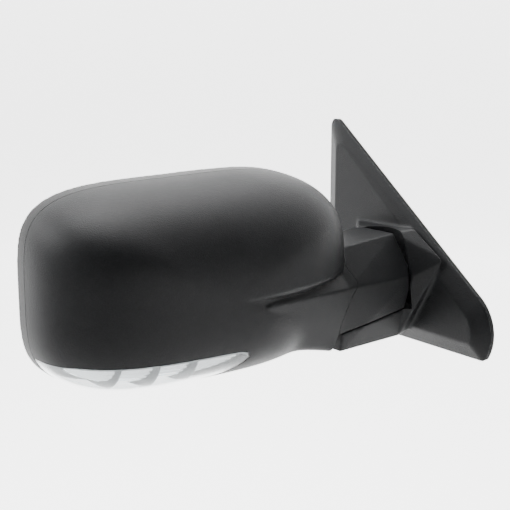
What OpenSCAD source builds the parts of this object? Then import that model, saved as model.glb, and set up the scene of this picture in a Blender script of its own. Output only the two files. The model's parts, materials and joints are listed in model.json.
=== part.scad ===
// Power-folding, heated door mirror of a pickup, right-hand side.
// Frame: X points inboard to the door, Y to the rear of the vehicle, Z up.
// The origin is the centre of the circle of three door studs, on the door's face.
// Lengths are in millimetres and angles in degrees.

/* [Sail] */
// Height of the sail's upper tip above the origin
sail_top = 141; // [137:1:145]
// How far the sail reaches forward of the origin
sail_front = 139; // [136:1:144]
// How far the sail reaches rearward of the origin
sail_rear = 80; // [76:1:84]
// How far the sail reaches below the origin
sail_drop = 67; // [64:1:70]
// Thickness of the sail, from the door's face
sail_depth = 14; // [14:0.5:16]
// Width of the bevel round the sail
sail_bevel = 17; // [14:1:18]

/* [Head] */
// Length of the head, from its centre to its outboard end
head_out = 151; // [149:1:154]
// Length of the head at its rear, from its centre to its inboard end
head_in = 148; // [146:1:150]
// Height of the head above its centre
head_up = 95; // [94:1:98]
// Height of the head below its centre
head_down = 85; // [84:1:87]
// Depth of the head, from its rear rim to its nose
head_depth = 104; // [102:1:108]
// Angle by which the head's rear face looks towards the driver
head_yaw = 6; // [5:0.5:7]

/* [Fold] */
// Lean of the fold axis away from the door, at its top
fold_lean = 8; // [7:0.5:9]
// Radius of the knuckle that turns in the sail's pocket
knuckle_r = 52; // [51.5:0.5:52.5]

/* [Glass] */
// Width of the bezel at the top, bottom and outboard end
bezel = 12; // [11:1:13]
// Width of the bezel at the inboard end
bezel_in = 34; // [32:1:36]
// Gap between the glass and the bezel
glass_gap = 4; // [3.5:0.5:5]

/* [Mount] */
// Diameter of the circle of door studs
stud_pcd = 100; // [98:1:102]
// Radius of a door stud
stud_r = 4; // [3.5:0.5:4]
// How far a stud stands out of the door's face
stud_out = 26; // [20:1:32]

/* [Hidden] */
$fn = 48;
wall = 2.5;              // thickness of a moulded cover
seam = 0.6;              // gap between two covers of one body
fold_forward = 50;       // how far the head folds forward
fold_gap = 1.2;          // gap between the knuckle and its pocket
pivot = [-62, -20, -33.5];
head_centre = [-232, 46, 20];
cap_from = 15;           // depth at which the front cap begins, behind it is the rear housing
around = 72;             // points round the head's skin
along = 18;              // rings from the head's rim to its nose
shelf_r = 54.5;          // radius of the shelf's cone, at its top
shelf_flare = 0.3;       // growth of that radius with depth
shelf_rear_r = 49;       // radius of the shelf behind the fold axis
spindle_r = 9;
hub_r = 13;
fit_gap = 0.05;          // radial clearance of a running fit
mesh_gap = 0.35;         // by how much each tooth and thread is thinner than its space
gear_teeth = 36;
gear_z = 27;             // height of the middle of the fold gear
worm_lead = PI;          // lead of the fold worm, one start of module 1
worm_r = 4.5;            // pitch radius of the fold worm
fine_module = 0.8;
fine_lead = PI * fine_module;
rotor_r = 3.2;           // pitch radius of a motor's worm
wheel_teeth = 20;        // teeth of the wheel on the fold worm's shaft
nut_teeth = 24;          // teeth of a glass drive's nut wheel
fold_worm_x = -(gear_teeth / 2 + worm_r);
wheel_y = 17;            // place of the wheel along the fold worm's shaft
fold_motor_x = fold_worm_x - (fine_module * wheel_teeth / 2 + rotor_r);
glass_x = (bezel - bezel_in) / 2;
glass_y = -12;           // depth of the mirror's face behind the rim
axis_y = -24;            // depth of the glass's two tilt axes
jack_arm = 32;           // distance of a jackscrew from the axis that it tilts about
jack_r = 2.5;
nut_y = -48.5;           // middle of the nut wheels
frame_y = -35.3;         // rear face of the head's frame
case_y = -37.9;          // rear face of the glass drive
case_depth = 22.1;
swing_r = 116;           // half the diagonal of the square of the frame that the glass never reaches
rotor_off = fine_module * nut_teeth / 2 + rotor_r;
ball_r = 4;
bracket_z = 4;           // underside of the head bracket, over the shelf
gearcase_z = 9.4;
gearcase_top = 36;
black = "#38383a";
dark = "#252527";
zinc = "#a8abae";
steel = "#b9bcc0";
white_pom = "#e4e2da";

// ---------- places ----------

module at_fold() translate(pivot) rotate([0, -fold_lean, 0]) children();
module at_head() translate(head_centre) rotate([0, 0, -head_yaw]) children();
// Lays a shape drawn in X and Z onto the head: its thickness then runs forward from depth y.
module on_head(y, thick) at_head() translate([0, y, 0]) rotate([90, 0, 0]) linear_extrude(thick) children();
// Puts a solid drawn along Z onto the head, pointing forward from depth y at a place of the glass drive.
module on_drive(x, y, z) at_head() translate([glass_x + x, y, z]) rotate([90, 0, 0]) children();
// Joins freeform skins into one mesh.
module one_mesh() resize([0, 0, 0]) children();

// ---------- the head's skin ----------

function power(v, p) = sign(v) * pow(abs(v), p);
// Squareness of the rim's outline in each of its four corners.
function corner(a) = a < 90 ? 3.6 : a < 180 ? 4.7 : a < 270 ? 3.5 : 3.6;
function rise(a) = power(sin(a), 2 / corner(a));
// One above the crease that runs to the neck, falling to nothing below it.
function upper(a) = min(max(1 + 4 * rise(a), 0), 1);
// Squareness of the skin's section in the direction a: full at the bottom, sloping at the top.
function fullness(a) =
    (1.8 + 0.8 * upper(a)) * pow(max(cos(a), 0), 2) + 2.1 * pow(max(sin(a), 0), 2)
    + 2.9 * pow(max(-cos(a), 0), 2) + 3 * pow(max(-sin(a), 0), 2);
function reach_x(a, share, inset) = cos(a) > 0 ? head_in + (8 + 22 * upper(a)) * share - inset : head_out - inset;
// The head grows taller inboard above its centre, and outboard below it.
function reach_z(a, inset) = (sin(a) > 0 ? head_up : head_down) * (1 + 0.02 * cos(a) * sign(sin(a))) - inset;
function skin_point(a, turn, inset) = let (
    p = 2 / fullness(a), n = 2 / corner(a),
    share = pow(sin(turn), p), size = pow(cos(turn), p))
    [reach_x(a, share, inset) * power(cos(a), n) * size,
     -(head_depth - inset) * share,
     reach_z(a, inset) * power(sin(a), n) * size];

// The head's skin as a solid, flat at its rear rim and drawn in by inset all over.
module head_solid(inset) {
    angles = [for (i = [0:around - 1]) 360 * i / around];
    rings = [for (k = [0:along - 1]) 90 * k / along];
    points = concat(
        [for (turn = rings) for (a = angles) skin_point(a, turn, inset)],
        [[0, -(head_depth - inset), 0], [0, 0, 0]]);
    nose = along * around;
    faces = concat(
        [for (k = [0:along - 2]) for (i = [0:around - 1]) let (j = (i + 1) % around, o = k * around)
            each [[o + j, o + i, o + around + j], [o + around + j, o + i, o + around + i]]],
        [for (i = [0:around - 1]) [(along - 1) * around + (i + 1) % around, (along - 1) * around + i, nose]],
        [for (i = [0:around - 1]) [i, (i + 1) % around, nose + 1]]);
    at_head() polyhedron(points, faces);
}

// The rim's outline drawn in: by inset all round, and by inset_in at the inboard end.
module rim_outline(inset, inset_in) polygon([
    for (i = [0:around - 1]) let (a = 360 * i / around, n = 2 / corner(a))
        [(cos(a) > 0 ? head_in - inset_in : head_out - inset) * power(cos(a), n),
         reach_z(a, inset) * power(sin(a), n)]]);

// A slab across the whole head, forward of one depth and rearward of another.
module head_slab(rear, front) at_head() translate([-250, front, -150]) cube([500, rear - front, 300]);

// ---------- the arm ----------

// Sections of the arm as [Y, Z] points: crease, top front, top rear, rear, bottom rear, bottom front.
root_section = [[-85, 24], [-48, 48], [30, 44], [36, 0], [28, -50], [-44, -53]];
seat_section = [[-59, 6], [-33, 43], [16, 42], [24, 0], [14, -58], [-42, -58]];
neck_section = [[-54, 6], [-24, 36], [14, 36], [24, 0], [14, -58], [-42, -58]];
band_section = [[-61, 12], [-20, 14], [0, 0], [0, -36], [-20, -44], [-50, -44]];
root_x = -13;
seat_x = -27;
neck_x = -105;
band_x = -225;

module section(x, points, inset) translate([x - 0.05, 0, 0]) rotate([90, 0, 90]) linear_extrude(0.1)
    offset(delta = -inset) polygon(points);
module arm_root(inset) hull() {
    section(root_x, root_section, inset);
    section(seat_x, seat_section, inset);
}
module arm_neck(inset) hull() {
    section(seat_x, seat_section, inset);
    section(neck_x, neck_section, inset);
}
module arm_band(inset) hull() {
    section(neck_x, neck_section, inset);
    section(band_x, band_section, inset);
}
module fold_cylinder(r, from, to) at_fold() translate([0, 0, from]) cylinder(r = r, h = to - from, $fn = 96);

// The cone under the fold plane that the shelf fills, grown all over.
module shelf_cone(grow) at_fold() translate([0, 0, grow - 40])
    cylinder(r1 = shelf_r + 40 * shelf_flare + grow, r2 = shelf_r + grow, h = 40, $fn = 96);
// The space under the fold plane that the moving parts leave to the shelf.
module shelf_space(grow) {
    fold_cylinder(shelf_rear_r + grow, -100, grow);
    difference() {
        shelf_cone(grow);
        at_fold() rotate([0, 0, -fold_forward - 4]) translate([-150, 0, -150]) cube([300, 150, 300]);
    }
    at_fold() translate([-10 - grow, -150, grow - 100]) cube([200, 300, 100]);
}
// The part of that space that the shelf takes: it leaves the neck room to swing at the rear.
module shelf_claim(inset) {
    fold_cylinder(shelf_rear_r - inset, -100, -inset);
    difference() {
        shelf_cone(-inset);
        at_fold() translate([-150, 0, -150]) cube([300, 150, 300]);
    }
    at_fold() translate([inset - 5, -150, -inset - 100]) cube([200, 150 - inset, 100]);
    at_fold() translate([20 + inset, -150, -inset - 100]) cube([200, 300, 100]);
}
module shelf_solid(inset) intersection() {
    union() {
        arm_neck(inset);
        arm_root(inset);
    }
    shelf_claim(inset);
}
module neck_solid(inset) intersection() {
    arm_neck(inset);
    union() {
        fold_cylinder(knuckle_r - inset, -60, 120);
        translate([pivot[0] - 200, -150, -150]) cube([200, 300, 300]);
    }
}
module moving_solid(inset) difference() {
    union() {
        head_solid(inset);
        arm_band(inset);
        neck_solid(inset);
    }
    shelf_space(fold_gap + inset);
}
// What the neck cover takes of the skin: inboard of a bent seam, and outside the head.
module neck_claim(grow) difference() {
    intersection() {
        neck_solid(-grow);
        translate([-grow, 150, 0]) rotate([90, 0, 0]) linear_extrude(300)
            polygon([[-96, 80], [-96, 24], [-93, 10], [-100, -2], [-109, -30], [-114, -80], [40, -80], [40, 80]]);
    }
    head_solid(grow > 0 ? 0 : -seam);
}

// ---------- gears and threads ----------

// Outline of a straight-toothed wheel with a space at 180 degrees.
module gear_outline(teeth, tooth) {
    r = teeth * tooth / 2;
    half = PI * tooth / 4 - mesh_gap / 2;
    tip = half - 0.85 * tooth * tan(20);
    root = half + 1.15 * tooth * tan(20);
    polygon([for (k = [0:teeth - 1]) let (a = 360 * (k + 0.5) / teeth)
        each [for (s = [[-root, -1.15], [-tip, 0.85], [tip, 0.85], [root, -1.15]])
            let (rr = r + s[1] * tooth, t = a + s[0] / r * 180 / PI) [rr * cos(t), rr * sin(t)]]]);
}
// A single-start worm, three turns long, about the origin, with its thread's crest at +X.
module worm(r, lead) {
    tooth = lead / PI;
    steps = 18;
    profile = [for (i = [0:steps - 1]) let (
        a = 360 * i / steps,
        away = min(i, steps - i) / steps * lead,
        h = min(max((lead / 4 - mesh_gap / 2 - away) / tan(20), -1.15 * tooth), 0.85 * tooth))
        [(r + h) * cos(a), (r + h) * sin(a)]];
    translate([0, 0, -1.5 * lead]) linear_extrude(3 * lead, twist = -3 * 360, slices = 36, $fn = steps)
        rotate(180) polygon(profile);
}
// A screw along Z, its head above the origin.
module screw(r, head_r, head_h, length) {
    cylinder(r = head_r, h = head_h);
    translate([0, 0, -length]) cylinder(r = r, h = length);
}

// ---------- base: parts that stay on the door ----------

module sail_plan(inset) offset(r = 7) offset(delta = -7 - inset) intersection() {
    hull() {
        translate([sail_rear - 7, sail_top - 7]) circle(7);
        translate([45 - sail_front, -42]) circle(45, $fn = 96);
        translate([sail_rear - 5, -sail_drop]) circle(5);
    }
    translate([-sail_front, -sail_drop]) square([sail_front + sail_rear, sail_top + sail_drop + 20]);
}
// The sail's body: a skirt with the sail's outline, and a bevel up to its flat face.
module sail_block(inset, depth) rotate([90, 0, 90]) mirror([0, 0, 1]) hull() {
    linear_extrude(depth - 9) sail_plan(inset);
    linear_extrude(depth) sail_plan(inset + sail_bevel);
}
sail_screw_at = [[52, 78], [-98, -42], [56, -40]];
module sail_screw_places(x) for (p = sail_screw_at) translate([x, p[0], p[1]]) rotate([0, 90, 0]) children();
module stud_places(x) for (k = [0:2]) rotate([90 + 120 * k, 0, 0]) translate([x, stud_pcd / 2, 0])
    rotate([0, 90, 0]) children();
grommet_at = [20, -12];
inlet_r = 8;
shank_r = stud_r + 0.5;  // radius of a stud's shank, pressed into the bracket

module sail_cover() color(black) one_mesh() difference() {
    union() {
        translate([-3, 0, 0]) sail_block(0, sail_depth - 3);
        arm_root(0);
        shelf_solid(0);
    }
    fold_cylinder(knuckle_r + fold_gap, -0.4, 140);
    difference() {
        union() {
            translate([0.1, 0, 0]) sail_block(wall, sail_depth - wall);
            arm_root(wall);
            shelf_solid(wall);
            at_fold() translate([30, -13, -19]) cube([32, 26, 16]);
        }
        fold_cylinder(knuckle_r + fold_gap + wall, -wall - 0.4, 140);
        sail_screw_places(-20) cylinder(r = 4.5, h = 13.7, $fn = 24);
    }
    fold_cylinder(hub_r + 2, -8, 4);
    fold_cylinder(hub_r, -60, -12);
    sail_screw_places(-12) cylinder(r = 2, h = 20, $fn = 24);
}
module base_bracket() color(zinc) difference() {
    union() {
        translate([-6, 0, 0]) rotate([90, 0, 90]) linear_extrude(6) sail_plan(10.5);
        at_fold() translate([0, 0, -18]) cylinder(r = 13, h = 14);
        at_fold() translate([0, -12, -18]) cube([58, 24, 14]);
    }
    at_fold() translate([0, 0, -40]) cylinder(r = spindle_r, h = 60);
    stud_places(-10) cylinder(r = shank_r, h = 20);
    sail_screw_places(-10) cylinder(r = 2, h = 20);
    sail_screw_places(-2) cylinder(r = 4.2, h = 3);
    translate([-10, grommet_at[0], grommet_at[1]]) rotate([0, 90, 0]) cylinder(r = inlet_r, h = 20);
}
module base_gasket() color(dark) translate([-2.9, 0, 0]) rotate([90, 0, 90]) linear_extrude(2.9) difference() {
    sail_plan(0.6);
    sail_plan(8.5);
}
module door_studs() color(steel) stud_places(-6) {
    cylinder(r = shank_r, h = 6);
    cylinder(r = stud_r, h = stud_out + 6);
    translate([0, 0, -2.5]) cylinder(r = 7.5, h = 2.5);
}
module harness_grommet() color(dark) translate([-8, grommet_at[0], grommet_at[1]]) rotate([0, 90, 0]) difference() {
    union() {
        cylinder(r = 10.5, h = 2);
        cylinder(r = inlet_r, h = 8);
    }
    translate([0, 0, -1]) cylinder(r = 5, h = 20);
}
module sail_screws() color(steel) sail_screw_places(-2) screw(1.9, 4, 1.9, 8.5);
module spindle() color(steel) at_fold() difference() {
    union() {
        translate([0, 0, -21]) cylinder(r = 11.5, h = 3);
        translate([0, 0, -21]) cylinder(r = spindle_r, h = 70);
    }
    translate([0, 0, -30]) cylinder(r = 5.5, h = 100);
}
module fold_gear() color(zinc) at_fold() translate([0, 0, gear_z]) difference() {
    union() {
        translate([0, 0, -2]) linear_extrude(4) gear_outline(gear_teeth, 1);
        translate([0, 0, -5]) cylinder(r = 15, h = 9);
    }
    translate([0, 0, -10]) cylinder(r = spindle_r, h = 20);
}
module clutch_washer() color(steel) at_fold() translate([0, 0, gear_z + 4]) difference() {
    cylinder(r = 15.5, h = 1.5);
    translate([0, 0, -1]) cylinder(r = spindle_r, h = 4);
}
// A compression spring of round wire, as a tube swept round a helix.
module fold_spring() {
    wire = 1.4;
    r = 12.5;
    low = gear_z + 5.5 + wire;
    rise = 8.6;
    turns = 3;
    rings = turns * 20;
    sides = 8;
    points = [for (k = [0:rings]) let (a = 360 * turns * k / rings)
        for (i = [0:sides - 1]) let (b = 360 * i / sides)
            [(r + wire * cos(b)) * cos(a), (r + wire * cos(b)) * sin(a), low + rise * k / rings + wire * sin(b)]];
    faces = concat(
        [for (k = [0:rings - 1]) for (i = [0:sides - 1]) let (j = (i + 1) % sides, o = k * sides)
            each [[o + i, o + sides + i, o + j], [o + j, o + sides + i, o + sides + j]]],
        [[for (i = [0:sides - 1]) i]],
        [[for (i = [sides - 1:-1:0]) rings * sides + i]]);
    color(steel) at_fold() polyhedron(points, faces);
}
module spring_retainer() color(steel) at_fold() translate([0, 0, gear_z + 17]) difference() {
    union() {
        cylinder(r = 15, h = 1.5);
        cylinder(r = 11.5, h = 4);
    }
    translate([0, 0, -1]) cylinder(r = spindle_r, h = 8);
}
module shelf_plug() color(dark) intersection() {
    at_fold() translate([0, 0, -40]) cylinder(r = hub_r - 0.3, h = 30);
    translate([-100, -60, -61]) cube([80, 80, 2.5]);
}

// ---------- head: covers ----------

// The signal lens's share of the skin, drawn in X and Z and cut straight through the head.
module lens_claim(grow) on_head(-cap_from - 1 + grow, 200) offset(delta = grow)
    polygon([[-170, -51], [-146, -48], [-130, -45], [-86, -46], [-32, -47], [12, -48.5],
             [19, -50.5], [22, -56], [14, -64], [0, -73], [-20, -82], [-40, -120], [-170, -120]]);
puddle_at = [62, -56];
module puddle_bore(r) at_head() translate([puddle_at[0], puddle_at[1], -120]) cylinder(r = r, h = 80, $fn = 32);

module front_cap() color(black) one_mesh() difference() {
    intersection() {
        moving_solid(0);
        head_slab(-cap_from, -160);
    }
    moving_solid(wall);
    neck_claim(seam);
    lens_claim(seam);
    puddle_bore(13.6);
}
module neck_cover() color(dark) one_mesh() difference() {
    intersection() {
        neck_claim(0);
        moving_solid(0);
    }
    moving_solid(wall);
    fold_cylinder(hub_r + 0.8, 0, 6);
}
frame_screw_at = [[116, -45], [120, 0], [116, 45]];
module rear_housing() color(dark) one_mesh() {
    difference() {
        head_solid(0);
        difference() {
            head_solid(wall);
            head_slab(10, -wall);
        }
        head_slab(-cap_from + seam, -160);
        on_head(1, 200) rim_outline(bezel, bezel_in);
        shelf_space(fold_gap);
        neck_solid(0.1);
    }
    difference() {
        on_head(-1, 33.5) rim_outline(bezel - wall, bezel_in - wall);
        on_head(1, 60) rim_outline(bezel, bezel_in);
    }
    for (p = frame_screw_at) at_head() translate([p[0], -2, p[1]]) rotate([90, 0, 0]) difference() {
        cylinder(r = 4.5, h = 33, $fn = 24);
        translate([0, 0, 20]) cylinder(r = 1.8, h = 20, $fn = 24);
    }
}
module housing_screws() color(steel) for (p = frame_screw_at)
    at_head() translate([p[0], frame_y - 2.5, p[1]]) rotate([90, 0, 0]) screw(1.7, 3.5, 2, 12);

// ---------- head: frame and bracket ----------

module drive_plan(grow) offset(r = grow) hull() {
    translate([jack_arm, 0]) circle(14);
    translate([0, jack_arm]) circle(14);
    translate([-30, jack_arm - rotor_off]) circle(12);
    translate([jack_arm - rotor_off, -30]) circle(12);
}
drive_screw_at = [[50, 0], [0, 50], [-17, -17]];
pad_screw_at = [[68, -26], [88, -10], [68, 20], [88, 8]];
// The corners that the glass swings into, inside its own outline.
module swing_corners() difference() {
    rim_outline(bezel + 3, bezel_in + 2.5);
    translate([glass_x, 0]) circle(swing_r, $fn = 4);
}

module head_frame() color(dark) difference() {
    union() {
        on_head(frame_y, 2.5) rim_outline(bezel + 1, 20);
        on_head(frame_y - 2, 4) difference() {
            rim_outline(bezel + 1, 20);
            rim_outline(bezel + 3.5, 22.5);
            translate([104, -80]) square([40, 140]);
        }
    }
    lens_claim(1);
    on_head(frame_y + 1, 20) swing_corners();
    on_head(frame_y + 1, 20) translate([123, -50]) square([20, 59]);
    on_head(frame_y + 1, 20) translate([glass_x, 0]) drive_plan(-3);
    for (p = drive_screw_at) on_drive(p[0], frame_y + 5, p[1]) cylinder(r = 1.7, h = 20);
    for (p = concat(pad_screw_at, frame_screw_at))
        at_head() translate([p[0], frame_y + 5, p[1]]) rotate([90, 0, 0]) cylinder(r = 1.8, h = 20);
    on_head(frame_y + 1, 20) translate([-105, 10]) square([45, 60], center = true);
}
module head_bracket() color(zinc) difference() {
    union() {
        at_fold() translate([0, 0, -3.6]) cylinder(r = hub_r, h = 10);
        at_fold() translate([0, 0, bracket_z]) cylinder(r = 24, h = 5);
        at_fold() translate([0, 0, bracket_z]) cylinder(r = 15.5, h = gear_z - 5.4 - bracket_z);
        at_fold() translate([-60, -11, bracket_z]) cube([60, 22, 5]);
        hull() {
            at_fold() translate([-60, -11, bracket_z]) cube([11, 22, 5]);
            at_head() translate([60, frame_y - 7.6, -34]) cube([28, 5, 20]);
        }
        at_head() translate([60, frame_y - 7.6, -34]) cube([38, 5, 64]);
    }
    at_fold() translate([0, 0, -20]) cylinder(r = spindle_r + fit_gap, h = 80);
    for (p = pad_screw_at)
        at_head() translate([p[0], frame_y + 5, p[1]]) rotate([90, 0, 0]) cylinder(r = 1.8, h = 40);
}
module bracket_screws() color(steel) for (p = pad_screw_at)
    at_head() translate([p[0], frame_y, p[1]]) rotate([-90, 0, 0]) screw(1.7, 3.6, 1.8, 7);

// ---------- head: lamps ----------

led_at = [[-114, -55], [-94, -57], [-73, -58], [-51, -58], [-28, -58], [-4, -57]];
module led_block(grow) for (p = led_at)
    at_head() translate([p[0] - 2.5 - grow, -96, p[1] - 2 - grow]) cube([5 + 2 * grow, 90, 4 + 2 * grow]);

// The bezel's inner wall with room round it, which the lamp's inner parts leave free.
module bezel_room() on_head(2, 37.2) rim_outline(bezel - wall - 0.6, bezel_in - wall - 0.6);
module signal_lens() color("#e8eef2", 0.6) one_mesh() difference() {
    intersection() {
        head_solid(0.1);
        lens_claim(0);
    }
    head_solid(2.1);
}
module signal_reflector() color("#d8dadc") one_mesh() difference() {
    intersection() {
        head_solid(2.4);
        lens_claim(-0.5);
    }
    difference() {
        head_solid(10.5);
        head_solid(12);
    }
    difference() {
        lens_claim(-2);
        difference() {
            head_solid(9);
            head_solid(10.5);
        }
    }
    head_solid(10.5);
    led_block(0.3);
    bezel_room();
}
module signal_board() color("#2c5a38") one_mesh() difference() {
    intersection() {
        head_solid(11);
        lens_claim(-3);
    }
    head_solid(12.5);
    bezel_room();
}
module signal_leds() color("#f0c020") one_mesh() difference() {
    intersection() {
        led_block(0);
        head_solid(7.5);
    }
    head_solid(10.9);
    bezel_room();
}
module puddle_lens() color("#e8eef2", 0.6) one_mesh() difference() {
    intersection() {
        head_solid(0.2);
        puddle_bore(13);
    }
    head_solid(2.4);
}
module puddle_housing() color(dark) one_mesh() difference() {
    intersection() {
        head_solid(2.8);
        puddle_bore(13);
    }
    at_head() translate([puddle_at[0], puddle_at[1], -120]) cylinder(r = 11.5, h = 60, $fn = 32);
    at_head() translate([puddle_at[0], puddle_at[1], -58]) cylinder(r = 20, h = 60, $fn = 32);
    at_head() translate([puddle_at[0], puddle_at[1], -90]) cylinder(r = 3.2, h = 60, $fn = 32);
}
module puddle_bulb() color("#f4f0dc") at_head() translate([puddle_at[0], puddle_at[1], -68]) {
    sphere(3);
    cylinder(r = 3, h = 12);
}

// ---------- head: fold drive ----------

module gearcase_plan(inset) {
    circle(22 - inset);
    translate([-46 + inset, -13 + inset]) square([40 - 2 * inset, 41 - 2 * inset]);
}
module fold_gearcase() color(dark) at_fold() difference() {
    translate([0, 0, gearcase_z]) linear_extrude(gearcase_top - gearcase_z) gearcase_plan(0);
    translate([0, 0, gearcase_z + 2]) linear_extrude(50) gearcase_plan(2);
    translate([0, 0, gearcase_z - 1]) cylinder(r = 15.7, h = 10);
    translate([fold_worm_x, -20, gear_z]) rotate([-90, 0, 0]) cylinder(r = 2 + fit_gap, h = 60);
    translate([fold_motor_x, wheel_y, gearcase_z - 1]) cylinder(r = 1 + fit_gap, h = 10);
}
module fold_gearcase_lid() color(dark) at_fold() difference() {
    translate([0, 0, gearcase_top]) linear_extrude(2) gearcase_plan(0);
    translate([0, 0, gearcase_top - 1]) cylinder(r = 16.5, h = 5);
    translate([fold_motor_x, wheel_y, gearcase_top - 1]) cylinder(r = 9.2, h = 5);
}
module fold_motor() color(steel) at_fold() translate([fold_motor_x, wheel_y, 37]) difference() {
    cylinder(r = 9, h = 24);
    translate([0, 0, -1]) cylinder(r = 1 + fit_gap, h = 12);
}
module fold_worm_shaft() color(steel) at_fold() translate([fold_worm_x, 0, gear_z]) rotate([-90, 0, 0]) {
    worm(worm_r, worm_lead);
    translate([0, 0, -12.8]) cylinder(r = 2, h = 40.6);
    translate([0, 0, wheel_y - 2]) linear_extrude(4) gear_outline(wheel_teeth, fine_module);
}
module fold_rotor() color("#b99a4a") at_fold() translate([fold_motor_x, wheel_y, gear_z]) {
    worm(rotor_r, fine_lead);
    translate([0, 0, gearcase_z - gear_z]) cylinder(r = 1, h = 32);
}

// ---------- head: glass drive ----------

module actuator_base() color(dark) difference() {
    union() {
        on_head(case_y, 2) translate([glass_x, 0]) drive_plan(8);
        on_head(case_y, case_depth) translate([glass_x, 0]) drive_plan(0);
        on_drive(0, -20.5, 0) cylinder(r = 9, h = 20);
    }
    difference() {
        on_head(case_y - 2, 60) translate([glass_x, 0]) drive_plan(-2);
        on_drive(jack_arm, case_y, 0) cylinder(r = 6, h = 6);
        on_drive(0, case_y, jack_arm) cylinder(r = 6, h = 6);
    }
    on_drive(jack_arm, case_y + 5, 0) cylinder(r = jack_r + 0.1, h = 30);
    on_drive(0, case_y + 5, jack_arm) cylinder(r = jack_r + 0.1, h = 30);
    at_head() translate([glass_x, axis_y, -20]) cylinder(r = 1.5 + fit_gap, h = 40);
    for (p = drive_screw_at) on_drive(p[0], frame_y, p[1]) cylinder(r = 1.7, h = 20);
}
module actuator_lid() color(dark) on_head(case_y - case_depth, 2) translate([glass_x, 0]) drive_plan(0);
module actuator_screws() color(steel) for (p = drive_screw_at)
    on_drive(p[0], frame_y, p[1]) mirror([0, 0, 1]) screw(1.6, 3.4, 1.8, 7);
// A can motor along Z with its shaft's bore at its upper end.
module small_motor() difference() {
    translate([0, 0, -28]) cylinder(r = 7.8, h = 18.5);
    translate([0, 0, -20]) cylinder(r = 1 + fit_gap, h = 20);
}
module small_rotor() {
    worm(rotor_r, fine_lead);
    translate([0, 0, -16]) cylinder(r = 1, h = 22);
}
module at_pan_rotor() at_head() translate([glass_x + jack_arm - rotor_off, nut_y, 0]) children();
module at_tilt_rotor() at_head() translate([glass_x, nut_y, jack_arm - rotor_off]) rotate([0, 90, 0])
    rotate([0, 0, 180]) children();
module pan_motor() color(steel) at_pan_rotor() small_motor();
module pan_rotor() color(white_pom) at_pan_rotor() small_rotor();
module tilt_motor() color(steel) at_tilt_rotor() small_motor();
module tilt_rotor() color(white_pom) at_tilt_rotor() small_rotor();
module nut_wheel() difference() {
    union() {
        translate([0, 0, -2]) linear_extrude(4) gear_outline(nut_teeth, fine_module);
        translate([0, 0, -4.2]) cylinder(r = 6, h = 8.2);
    }
    translate([0, 0, -10]) cylinder(r = jack_r + fit_gap, h = 20);
}
module pan_nut_wheel() color(white_pom) on_drive(jack_arm, nut_y, 0) nut_wheel();
module tilt_nut_wheel() color(white_pom) on_drive(0, nut_y, jack_arm) nut_wheel();
// A push rod with a ball at the tilt axes' depth.
module jackscrew() {
    sphere(ball_r);
    cylinder(r = jack_r, h = 30);
}
module pan_jackscrew() color(white_pom) on_drive(jack_arm, axis_y, 0) jackscrew();
module tilt_jackscrew() color(white_pom) on_drive(0, axis_y, jack_arm) jackscrew();

// ---------- head: glass ----------

module gimbal_ring() color(white_pom) {
    on_drive(0, axis_y + 2, 0) difference() {
        cylinder(r = 15, h = 4);
        translate([0, 0, -1]) cylinder(r = 11, h = 6);
    }
    at_head() for (s = [0, 180]) translate([glass_x, axis_y, 0]) rotate([0, s, 0]) translate([0, 0, 5])
        cylinder(r = 1.5, h = 8);
    at_head() for (s = [90, 270]) translate([glass_x, axis_y, 0]) rotate([0, s, 0]) translate([0, 0, 13])
        cylinder(r = 1.5, h = 7.5);
}
module backing_plate() color(dark) difference() {
    union() {
        on_head(glass_y - 2.8, 2.5) rim_outline(bezel + glass_gap + 1, bezel_in + glass_gap + 1);
        on_drive(jack_arm, glass_y - 5, 0) cylinder(r = 7, h = 10);
        on_drive(0, glass_y - 5, jack_arm) cylinder(r = 7, h = 10);
        for (s = [-1, 1]) at_head()
            translate([glass_x + s * 18.5 - 2, axis_y - 4, -4]) cube([4, glass_y - axis_y + 0.8, 8]);
    }
    on_drive(jack_arm, glass_y - 5.5, 0) cylinder(r = ball_r + 1, h = 20);
    on_drive(0, glass_y - 5.5, jack_arm) cylinder(r = ball_r + 1, h = 20);
    at_head() translate([glass_x - 40, axis_y, 0]) rotate([0, 90, 0]) cylinder(r = 1.5 + fit_gap, h = 80);
}
module heater_pad() color("#8a5a30") on_head(glass_y - 2, 0.8) rim_outline(bezel + glass_gap + 3, bezel_in + glass_gap + 3);
module mirror_glass() color("#c8d4dc") on_head(glass_y, 2) rim_outline(bezel + glass_gap, bezel_in + glass_gap);

sail_cover();
base_bracket();
base_gasket();
door_studs();
harness_grommet();
sail_screws();
spindle();
fold_gear();
clutch_washer();
fold_spring();
spring_retainer();
shelf_plug();
front_cap();
rear_housing();
neck_cover();
head_frame();
head_bracket();
bracket_screws();
housing_screws();
signal_lens();
signal_reflector();
signal_board();
signal_leds();
puddle_lens();
puddle_housing();
puddle_bulb();
fold_gearcase();
fold_gearcase_lid();
fold_motor();
fold_worm_shaft();
fold_rotor();
actuator_base();
actuator_lid();
actuator_screws();
pan_motor();
tilt_motor();
pan_rotor();
tilt_rotor();
pan_nut_wheel();
tilt_nut_wheel();
pan_jackscrew();
tilt_jackscrew();
gimbal_ring();
backing_plate();
heater_pad();
mirror_glass();
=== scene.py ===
import bpy, bmesh, json, math
from mathutils import Matrix, Vector


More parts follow.
